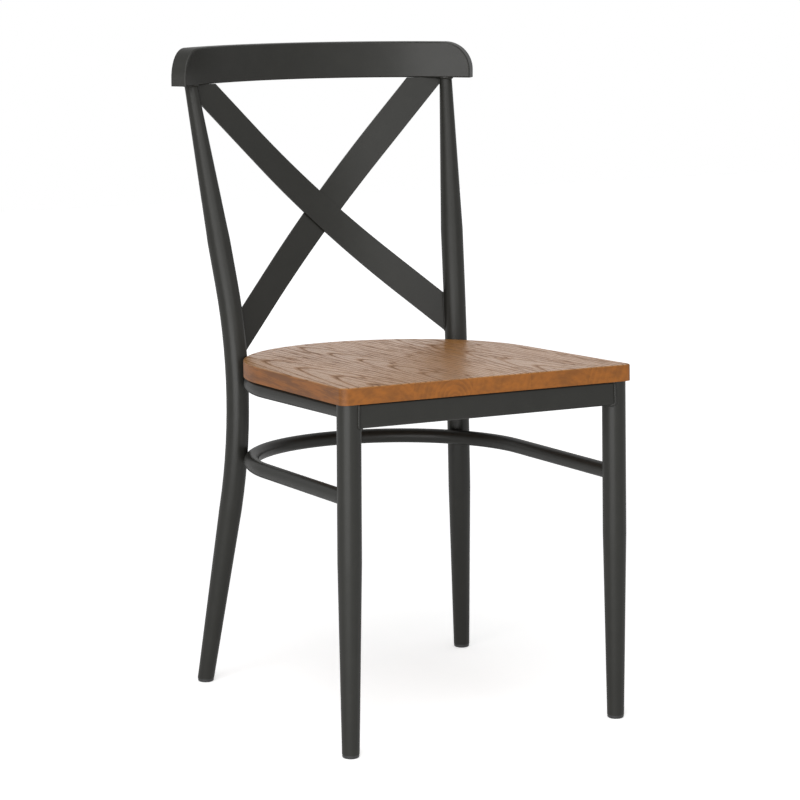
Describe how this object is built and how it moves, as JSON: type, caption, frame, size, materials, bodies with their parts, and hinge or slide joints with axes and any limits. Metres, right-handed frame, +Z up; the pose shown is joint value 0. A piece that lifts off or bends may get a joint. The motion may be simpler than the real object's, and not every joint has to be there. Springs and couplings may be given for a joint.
{
  "type": "dining chair",
  "caption": "Metal tube dining chair with a curved top rail, crossed back straps, a stretcher hoop and a solid wood seat with a rounded back.",
  "frame": {"origin": "middle of the chair's width and depth, on the floor", "axes": "+Z up, -Y the way the sitter faces, +X the viewer's right from in front"},
  "size_m": [0.4508, 0.5354, 0.8424],
  "materials": {
    "frame_paint": "satin powder coat",
    "seat_wood": "satin clear lacquer over brown stain",
    "screw_steel": "plain zinc-plated steel",
    "glide_plastic": "moulded black plastic"
  },
  "bodies": {
    "root": {"rear_leg_left": "frame_paint", "rear_leg_right": "frame_paint", "front_leg_left": "frame_paint", "front_leg_right": "frame_paint", "seat_ring": "frame_paint", "stretcher_hoop": "frame_paint", "front_apron": "frame_paint", "crest_front_shell": "frame_paint", "crest_back_plate": "frame_paint", "back_strap_front": "frame_paint", "back_strap_rear": "frame_paint", "seat_tab_front_left": "frame_paint", "seat_tab_front_right": "frame_paint", "seat_tab_rear_left": "frame_paint", "seat_tab_rear_right": "frame_paint", "seat_stave_1": "seat_wood", "seat_stave_2": "seat_wood", "seat_stave_3": "seat_wood", "seat_stave_4": "seat_wood", "seat_stave_5": "seat_wood", "seat_screws": "screw_steel", "glide_front_left": "glide_plastic", "glide_front_right": "glide_plastic", "glide_rear_left": "glide_plastic", "glide_rear_right": "glide_plastic"}
  },
  "joints": []
}
